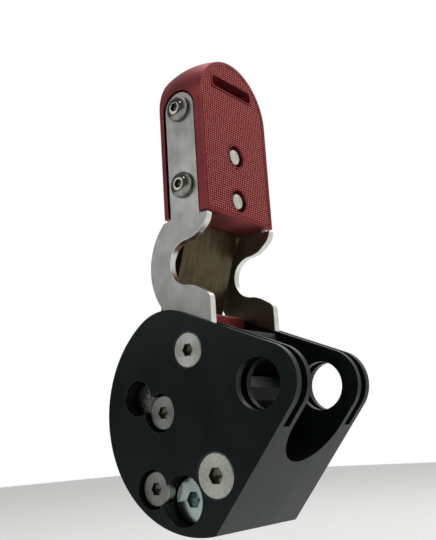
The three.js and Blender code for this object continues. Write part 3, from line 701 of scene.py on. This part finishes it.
def make_grip():
    """The grip as one swept skin: a crowned section carried up one side, over the arch and down."""
    across, up, over = 12, 5, 60
    steps = [GRIP_HALF_DEPTH * (k / across * 2 - 1) for k in range(across + 1)]
    heights = [GRIP_LOW.z + (ARCH_HEIGHT - GRIP_LOW.z) * k / up for k in range(up)]
    turns = [pi * k / over for k in range(over + 1)]
    sections = ([((1, 0), z) for z in heights]
                + [((cos(t), sin(t)), ARCH_HEIGHT) for t in turns]
                + [((-1, 0), z) for z in reversed(heights)])
    verts = []
    for (cy, cz), z in sections:
        verts += [(GRIP_MIDDLE + dx, cy * crown(dx), z + cz * crown(dx)) for dx in steps]
    wide = len(steps)
    faces = [(a * wide + b, (a + 1) * wide + b, (a + 1) * wide + b + 1, a * wide + b + 1)
             for a in range(len(sections) - 1) for b in range(wide - 1)]
    faces.append(tuple(a * wide for a in range(len(sections))))
    faces.append(tuple(a * wide + wide - 1 for a in reversed(range(len(sections)))))
    last = (len(sections) - 1) * wide
    faces.append(tuple(reversed(range(wide))) + tuple(range(last, last + wide)))
    grip = new_object("grip_fine", verts, faces)

    clear = STEM_HALF + 0.7
    pocket = (arc(AXLE.x, PLATE_SCREWS[1], clear, 0, 180)
              + [(AXLE.x - clear, GRIP_LOW.z - PAST), (AXLE.x + clear, GRIP_LOW.z - PAST)])
    web_high = span("web_plate")[1]
    front = web_high.x + GAP
    rear = web_high.x - TONGUE - GAP
    groove = [(front, GRIP_LOW.z - PAST), (front, web_high.z + GAP), (rear, web_high.z + GAP),
              (rear, GRIP_LOW.z - PAST)]
    tools = [prism("tool", pocket, "Y", -GRIP_RADIUS - PAST, -SLOT_INNER),
             prism("tool", pocket, "Y", SLOT_INNER, GRIP_RADIUS + PAST),
             prism("tool", lanyard_slot(), "X", GRIP_LOW.x - PAST, GRIP_HIGH.x + PAST),
             prism("tool", groove, "Y", -WEB_HALF - GAP, WEB_HALF + GAP),
             knurl_bed("front"), knurl_bed("back")]
    for z in GRIP_SCREWS:
        mouth = (GRIP_HIGH.x + 1, 0, z)
        tools.append(cylinder(GRIP_HEAD_HOLE, mouth, (-1, 0, 0), 5.1))
        tools.append(cylinder(GRIP_SCREW_HOLE, mouth, (-1, 0, 0), 18.5))
    for z in PLATE_SCREWS:
        for side in (-1, 1):
            mouth = (AXLE.x, side * (SLOT_INNER + 1), z)
            tools.append(cylinder(PLATE_SCREW_HOLE, mouth, (0, -side, 0), 12))
    boolean(grip, tools)
    dress(grip, RED, bevel=0.35)
    # the faces turned to the front or back get the darker red: painted shade
    give_material(grip, RED_SHADED_FACE, lambda centre, normal: abs(normal.x) > 0.95)
    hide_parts("grip")
    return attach(grip, "handle")


def knurl_bed(label):
    """Shallow pocket for the knurl in the grip's front or back, with islands left at its holes."""
    half = crown(GRIP_HALF_DEPTH) - KNURL_BORDER
    low = GRIP_LOW.z + KNURL_BORDER
    outline = arc(0, ARCH_HEIGHT, half, 0, 180) + [(-half, low), (half, low)]
    depth = KNURL_DEPTH + 0.1
    if label == "front":
        bed = prism("tool", outline, "X", GRIP_HIGH.x - depth, GRIP_HIGH.x + PAST)
    else:
        bed = prism("tool", outline, "X", GRIP_LOW.x - PAST, GRIP_LOW.x + depth)
    islands = [prism("tool", lanyard_slot(LANYARD_RIM), "X", GRIP_LOW.x - 2 * PAST,
                     GRIP_HIGH.x + 2 * PAST)]
    if label == "front":
        islands += [cylinder(SCREW_ISLAND, (0, 0, z), (1, 0, 0), 40) for z in GRIP_SCREWS]
    return boolean(bed, islands)


def knurled_here(y, z, label):
    """Whether a knurl point stands here: inside the bed or a little under its rim."""
    reach = crown(GRIP_HALF_DEPTH) - KNURL_BORDER + 0.3
    across = abs(y) if z < ARCH_HEIGHT else hypot(y, z - ARCH_HEIGHT)
    if across > reach or z < GRIP_LOW.z + KNURL_BORDER - 0.2:
        return False
    near_slot = LANYARD_LOW - LANYARD_RIM < z < LANYARD_HIGH + LANYARD_RIM
    if near_slot and abs(y) < LANYARD_HALF + LANYARD_RIM:
        return False
    return label == "back" or all(hypot(y, z - screw) > SCREW_ISLAND for screw in GRIP_SCREWS)


def make_knurl(label, face, outwards):
    """Rows of small four-sided points on the grip's front or back, as one closed skin."""
    wide, tall = KNURL_PITCH
    floor = face - outwards * KNURL_DEPTH
    under = face - outwards * 2 * KNURL_DEPTH
    columns = int(GRIP_RADIUS / wide) + 1
    rows = int((GRIP_HIGH.z - GRIP_LOW.z) / tall) + 1
    cells = {(c, r) for c in range(-columns, columns + 1) for r in range(rows)
             if knurled_here(c * wide, GRIP_LOW.z + (r + 0.5) * tall, label)}
    verts = []
    faces = []
    corner_index = {}

    def corner(c, r, level):
        key = (c, r, level)
        if key not in corner_index:
            corner_index[key] = len(verts)
            verts.append((level, (c - 0.5) * wide, GRIP_LOW.z + r * tall))
        return corner_index[key]

    for c, r in sorted(cells):
        around = ((c, r), (c + 1, r), (c + 1, r + 1), (c, r + 1))
        tip = len(verts)
        verts.append((face, c * wide, GRIP_LOW.z + (r + 0.5) * tall))
        beyond = ((c, r - 1), (c + 1, r), (c, r + 1), (c - 1, r))
        for k in range(4):
            a, b = around[k], around[(k + 1) % 4]
            faces.append((corner(*a, floor), corner(*b, floor), tip))
            if beyond[k] not in cells:
                faces.append((corner(*a, floor), corner(*b, floor), corner(*b, under), corner(*a, under)))
        faces.append(tuple(corner(*a, under) for a in around))
    knurl = new_object(f"knurl_{label}", verts, faces)
    knurl.data.materials.append(KNURL.material)
    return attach(knurl, "handle")


def make_web():
    """Bronze-grey web between the side plates, bored for the grip's screws."""
    web = prism("web_fine", web_outline(), "Y", -WEB_HALF, WEB_HALF)
    boolean(web, [cylinder(GRIP_SCREW_HOLE, (GRIP_HIGH.x, 0, z), (-1, 0, 0), 20)
                  for z in GRIP_SCREWS])
    dress(web, WEB, bevel=0.3)
    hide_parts("web_plate")
    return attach(web, "handle")


def eccentric_form(name, half, extra=0):
    """The eccentric with its idle top cut flat, `extra` larger all round."""
    form = bore(ECCENTRIC, ECCENTRIC_RADIUS + extra, -half, half, 96)
    form.name = name
    level = span("drive_cam")[1].z + extra
    reach = 2 * ECCENTRIC_RADIUS
    above = rectangle(ECCENTRIC.x - reach, level, ECCENTRIC.x + reach, level + reach)
    return boolean(form, [prism("tool", above, "Y", -half - 1, half + 1)])


def make_cam():
    """Eccentric on the flats of the axle, bored for the screws of the red block."""
    cam = eccentric_form("drive_cam_fine", CAM_HALF)
    bore_outline = flatted(AXLE_RADIUS + GAP, AXLE_FLAT + GAP)
    bar = prism("tool", bore_outline, "Y", -CAM_HALF - 1, CAM_HALF + 1)
    screw_low, screw_high = span("block_screw_near")
    depth = screw_high.z - screw_low.z
    holes = [cylinder(BLOCK_SCREW_HOLE, (*middle(node).xy, screw_low.z - GAP), (0, 0, 1), depth)
             for node in ("block_screw_near", "block_screw_far")]
    boolean(cam, [bar, *holes])
    dress(cam, DARK, bevel=0.4)
    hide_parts("drive_cam")
    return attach(cam, "handle")


def make_cam_block():
    """Red block with well-rounded edges, hollowed to sit on the eccentric."""
    low, high = span("cam_block")
    corner, step = 1.2, 3.2
    foot = high.z - 6
    outline = [(high.x, low.z), *arc(high.x - corner, high.z - corner, corner, 0, 90, 15),
               *arc(low.x + corner, high.z - corner, corner, 90, 180, 15), (low.x, foot),
               (low.x + step, low.z)]
    block = prism("cam_block_fine", outline, "Y", low.y, high.y)
    tools = [eccentric_form("tool", high.y + 1, GAP)]
    head_hole = 2.55
    for node in ("block_screw_near", "block_screw_far"):
        screw = middle(node)
        above = (screw.x, screw.y, high.z + 1)
        tools.append(cylinder(head_hole, above, (0, 0, -1), 4))
        tools.append(cylinder(BLOCK_SCREW_HOLE, above, (0, 0, -1), 20))
    boolean(block, tools)
    dress(block, RED_GLOSS, bevel=0.9, steps=4)
    # the block's front face gets the darker red: painted shade
    give_material(block, RED_SHADED_FACE, lambda centre, normal: normal.x > 0.7)
    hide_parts("cam_block")
    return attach(block, "handle")


# ---------------------------------------------------------------- screws and pins


def make_flat_screw(node, side, spec, body):
    """Countersunk screw, flush with the body's outer face."""
    screw = middle(node)
    r = radius(node)
    sink, shank, length = spec["sink"], spec["shank"], spec["length"]
    at = Vector((screw.x, side * (BODY_HALF - 0.1), screw.z))
    inwards = Vector((0, -side, 0))
    profile = [(0, 0), (r - 0.25, 0), (r, 0.2), (r - sink + 0.1, sink), (shank, sink),
               (shank, length), (0, length)]
    obj = turned(f"{node}_fine", profile, at, inwards, 96)
    socket_depth = 2.4
    boolean(obj, [hex_socket(spec["socket"], at, inwards, socket_depth)])
    dress(obj, HEAD, DOME, bevel=0.12)
    # painted shade inside the socket
    paint_socket_shade(obj, spec["socket"], socket_depth)
    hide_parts(node)
    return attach(obj, body)


def make_retainer(node):
    """Sunk screw whose head overlaps the end of the pin beside it."""
    screw = middle(node)
    low, high = span(node)
    r = radius(node)
    at = Vector((screw.x, low.y, screw.z))
    length = high.y - low.y
    head, shank = 3.1, 2.4
    profile = [(0, 0), (r - 0.5, 0), (r, 0.35), (r, head), (shank, head), (shank, length),
               (0, length)]
    obj = turned(f"{node}_fine", profile, at, (0, 1, 0), 96)
    socket, socket_depth = 4, 2
    boolean(obj, [hex_socket(socket, at, Vector((0, 1, 0)), socket_depth)])
    dress(obj, DULL_HEAD, DOME, bevel=0.12)
    # painted shade inside the socket
    paint_socket_shade(obj, socket, socket_depth)
    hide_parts(node)
    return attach(obj, "frame")


def make_pin(node, finish, socket=None):
    """Cross pin with chamfered ends, and a hexagonal socket in its near end if it has one."""
    pin = middle(node)
    low, high = span(node)
    r = radius(node)
    length = high.y - low.y
    at = Vector((pin.x, low.y, pin.z))
    cut = 0.8
    profile = [(0, 0), (r - cut, 0), (r, cut), (r, length - cut), (r - cut, length), (0, length)]
    obj = turned(f"{node}_fine", profile, at, (0, 1, 0), 96)
    socket_depth = 5
    if socket:
        boolean(obj, [hex_socket(socket, at, Vector((0, 1, 0)), socket_depth)])
    dress(obj, finish, bevel=0.15)
    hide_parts(node)
    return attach(obj, "frame")


def make_plate_screw(node, side):
    """Round-headed screw that holds a side plate to the grip."""
    screw = middle(node)
    r = radius(node)
    base = side * (PLATE_OUTER + 0.2)
    length, shank = 14, 2.3
    dome, rim, flat = 2.7, 0.4, 1.85
    profile = [(0, -length), (shank, -length), (shank, 0), (r - 0.15, 0)]
    steps = 12
    for k in range(steps + 1):
        lift = k / steps * pi / 2
        profile.append((flat + (r - flat) * cos(lift), rim + (dome - rim) * sin(lift)))
    profile.append((0, dome))
    at = Vector((screw.x, base, screw.z))
    outwards = Vector((0, side, 0))
    obj = turned(f"{node}_fine", profile, at, outwards, 96)
    socket, socket_depth = 3, 1.6
    boolean(obj, [hex_socket(socket, at + outwards * dome, -outwards, socket_depth, 0.1)])
    dress(obj, DOME, bevel=0.1)
    # painted shade inside the socket
    paint_socket_shade(obj, socket, socket_depth, top=dome)
    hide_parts(node)
    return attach(obj, "handle")


def make_grip_screw(node):
    """Plain cap screw, a little sunk in the grip's front."""
    at = Vector((span(node)[1].x, 0, middle(node).z))
    head, height, shank, length, cut = 3.1, 3, 1.9, 16, 0.35
    profile = [(0, 0), (head - cut, 0), (head, cut), (head, height), (shank, height),
               (shank, length), (0, length)]
    obj = turned(f"{node}_fine", profile, at, (-1, 0, 0), 72)
    dress(obj, HEAD, bevel=0.12)
    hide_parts(node)
    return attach(obj, "handle")


# ---------------------------------------------------------------- clamp


def make_jaw():
    """Toothed arm on the upper pin, with two ears that leave room for the spring."""
    ear, top, nose_start, nose_drop = 9.3, 39.7, 17.5, 4.3
    tip = span("clamp_jaw")[1].x
    first, last, pitch, depth, slope = 20, -8, 4, 1.3, 0.1
    teeth = []
    for x in range(first, last, -pitch):
        level = 28.6 - (first - x) * slope
        teeth += [(x, level), (x - 0.75 * pitch, level + depth)]
    arm = [(JAW_PIN.x, JAW_PIN.z + ear), (-9, top), (nose_start, top), (tip, top - nose_drop),
           (tip, 31), *teeth, (JAW_PIN.x, JAW_PIN.z - ear)]
    jaw = prism("clamp_jaw_fine", arm, "Y", -JAW_HALF, JAW_HALF)
    boolean(jaw, [bore(JAW_PIN, ear, -JAW_HALF, JAW_HALF, 96)], "UNION")
    window_half = 5.5
    window = prism("tool", rectangle(-32, 20, -8, 48), "Y", -window_half, window_half)
    leg_hole = cylinder(1.3, (-9, SPRING_Y, SPRING_LEG), (1, 0, 0), 7, 24)
    pin_hole = bore(JAW_PIN, radius("jaw_pin") + GAP, -JAW_HALF - 1, JAW_HALF + 1, 96)
    boolean(jaw, [pin_hole, window, leg_hole])
    dress(jaw, DARK, bevel=0.25)
    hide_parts("clamp_jaw")
    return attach(jaw, "jaw")


def make_seat():
    """Ribbed saddle that follows the rounded floor of the rope channel."""
    low, high = span("rope_seat")
    thickness, rib_pitch, groove, depth = 2.3, 6, 2, 0.8
    bottom, spread = 270, 62
    outline = (trough(GAP, bottom - spread, bottom + spread)
               + trough(GAP + thickness, bottom + spread, bottom - spread))
    seat = prism("rope_seat_fine", outline, "X", low.x, high.x)
    past = spread + 7
    valley = trough(GAP + thickness - depth, bottom - past, bottom + past)
    tools = []
    x = low.x + rib_pitch / 2
    while x < high.x:
        tools.append(prism("tool", valley, "X", x - groove / 2, x + groove / 2))
        x += rib_pitch
    head, shank, cone, end = 3.9, 2.1, 1.8, 8
    sink = [(0, -2), (head, -2), (head, 0), (shank, cone), (shank, end), (0, end)]
    for node in ("seat_screw_rear", "seat_screw_front"):
        screw = middle(node)
        top = span(node)[1].z
        tools.append(turned("tool", sink, (screw.x, 0, top), (0, 0, -1), 48))
    boolean(seat, tools)
    dress(seat, DARK, bevel=0.15)
    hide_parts("rope_seat")
    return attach(seat, "frame")


def make_spring():
    """Round wire: one leg hooked into the near cheek, a coil round the pin, one leg in the jaw."""
    coil, wire, y = 7.7, 0.8, SPRING_Y
    reach, anchor_turn = 12.7, 0.75 * pi
    first = anchor_turn - acos(coil / reach)
    sweep = radians(3 * 360 + 36.5)
    x, z = JAW_PIN.x + reach * cos(anchor_turn), JAW_PIN.z + reach * sin(anchor_turn)
    points = [(x, -CHANNEL_HALF - 1.8, z), (x, -y - 3, z), (x + 1.2, -y, z - 0.2)]
    steps = 36
    for k in range(steps + 1):
        turn = first - sweep * k / steps
        points.append((JAW_PIN.x + coil * cos(turn), y * (2 * k / steps - 1),
                       JAW_PIN.z + coil * sin(turn)))
    points += [(-9.4, y, SPRING_LEG + 0.3), (-3, y, SPRING_LEG)]
    curve = bpy.data.curves.new("jaw_spring_fine", "CURVE")
    curve.dimensions = "3D"
    curve.bevel_depth = wire * MM
    curve.bevel_resolution = 4
    curve.use_fill_caps = True
    line = curve.splines.new("NURBS")
    line.points.add(len(points) - 1)
    for point, place in zip(line.points, points):
        point.co = (*(Vector(place) * MM), 1)
    line.use_endpoint_u = True
    line.order_u = 3
    line.resolution_u = 6
    obj = bpy.data.objects.new("jaw_spring_fine", curve)
    bpy.context.scene.collection.objects.link(obj)
    curve.materials.append(WIRE.material)
    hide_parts("jaw_spring")
    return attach(obj, "jaw")


make_body()
make_grip()
make_knurl("front", GRIP_HIGH.x - KNURL_SUNK, 1)
make_knurl("back", GRIP_LOW.x + KNURL_SUNK, -1)
make_web()
make_cam()
make_cam_block()
make_seat()
make_jaw()
make_spring()
make_pin("mount_pin", ZINC, socket=5)
make_pin("jaw_pin", PIN_STEEL)
make_retainer("jaw_pin_screw")
make_retainer("mount_pin_screw")
for side, label in SIDES:
    make_side_plate(label)
    make_flat_screw(f"axle_screw_{label}", side, AXLE_SCREW, "handle")
    make_flat_screw(f"base_screw_{label}", side, BASE_SCREW, "frame")
    for height in ("lower", "upper"):
        make_plate_screw(f"plate_screw_{label}_{height}", side)
for height in ("lower", "upper"):
    make_grip_screw(f"grip_screw_{height}")

# the CAD nodes that are fine enough to be kept
kept = {
    "block_screw_near": (DULL_HEAD, "dark_steel"),
    "block_screw_far": (DULL_HEAD, "dark_steel"),
    "pivot_axle": (STEEL, "steel"),
    "seat_screw_rear": (HEAD, "steel"),
    "seat_screw_front": (HEAD, "steel"),
    "axle_bush_near": (ACETAL, "acetal"),
    "axle_bush_far": (ACETAL, "acetal"),
    "jaw_washer_near": (ACETAL, "acetal"),
    "jaw_washer_far": (ACETAL, "acetal"),
}
for node, (finish, slot_name) in kept.items():
    obj = frame["nodes"][node]
    obj.data.materials.clear()
    obj.data.materials.append(finish.material)

# ---------------------------------------------------------------- floor, light and camera

floor_drop = 60
floor_level = cad_box[0].z - floor_drop * MM
bpy.ops.mesh.primitive_plane_add(size=4, location=(0, 0, floor_level))
floor = bpy.context.object
floor.name = "floor"
pale = Finish("pale_floor", 0.0)
pale.color(pale.blend(pale.noise(60, 3), (0.86, 0.86, 0.86), (0.90, 0.90, 0.90)))
pale.roughness(0.6)
pale.shader.inputs["Emission Color"].default_value = (1, 1, 1, 1)
pale.shader.inputs["Emission Strength"].default_value = 0.12
floor.data.materials.append(pale.material)


def area_light(name, place, target, size, power):
    """A white rectangular light at a place in metres, turned towards its target."""
    data = bpy.data.lights.new(name, "AREA")
    data.shape = "RECTANGLE"
    data.size, data.size_y = size
    data.energy = power
    lamp = bpy.data.objects.new(name, data)
    lamp.location = place
    lamp.rotation_euler = (Vector(target) - Vector(place)).to_track_quat("-Z", "Y").to_euler()
    bpy.context.scene.collection.objects.link(lamp)


area_light("key", (-0.6, -0.76, 0.42), (0, 0, 0.06), size=(0.4, 0.4), power=0.68)
for x in (-0.11, 0.0):
    area_light("glint", (x, -0.75, 0.72), (0, 0, 0.08), size=(0.05, 0.05), power=0.12)
area_light("top", (0.1, 0.45, 0.9), (0, 0.1, 0), size=(0.9, 0.9), power=4.4)

world = bpy.data.worlds.new("studio")
bpy.context.scene.world = world
world.use_nodes = True
nodes, links = world.node_tree.nodes, world.node_tree.links
direction = nodes.new("ShaderNodeTexCoord")
behind = nodes.new("ShaderNodeVectorMath")
behind.operation = "DOT_PRODUCT"
behind.inputs[1].default_value = (0.45, 0.87, 0.1)
links.new(direction.outputs["Generated"], behind.inputs[0])
level = nodes.new("ShaderNodeMapRange")
level.inputs["From Min"].default_value = -0.4
level.inputs["From Max"].default_value = 0.6
level.inputs["To Min"].default_value = 0.12
level.inputs["To Max"].default_value = 0.8
links.new(behind.outputs["Value"], level.inputs["Value"])
room = nodes["Background"]
links.new(level.outputs[0], room.inputs["Strength"])
room.inputs["Color"].default_value = (0.98, 1, 0.965, 1)
backdrop = nodes.new("ShaderNodeBackground")
backdrop.inputs["Color"].default_value = (1, 1, 1, 1)
choice = nodes.new("ShaderNodeMixShader")
links.new(nodes.new("ShaderNodeLightPath").outputs["Is Camera Ray"], choice.inputs[0])
links.new(room.outputs[0], choice.inputs[1])
links.new(backdrop.outputs[0], choice.inputs[2])
links.new(choice.outputs[0], nodes["World Output"].inputs["Surface"])

# the camera was fitted to the outline in the photo
camera_data = bpy.data.cameras.new("camera")
camera_data.sensor_fit = "VERTICAL"
camera_data.sensor_height = 24
camera_data.lens = 33.33
camera_data.clip_start = 0.01
camera = bpy.data.objects.new("camera", camera_data)
bpy.context.scene.collection.objects.link(camera)
right, up, forward = ((0.78548, 0.61565, -0.06320), (0.18933, -0.14181, 0.97162),
                      (-0.58921, 0.77516, 0.22795))
axes = Matrix((right, up, [-f for f in forward])).transposed().to_4x4()
camera.matrix_world = Matrix.Translation((0.1684, -0.2178, 0.0169)) @ axes
bpy.context.scene.camera = camera
bpy.context.scene.view_settings.view_transform = "Standard"
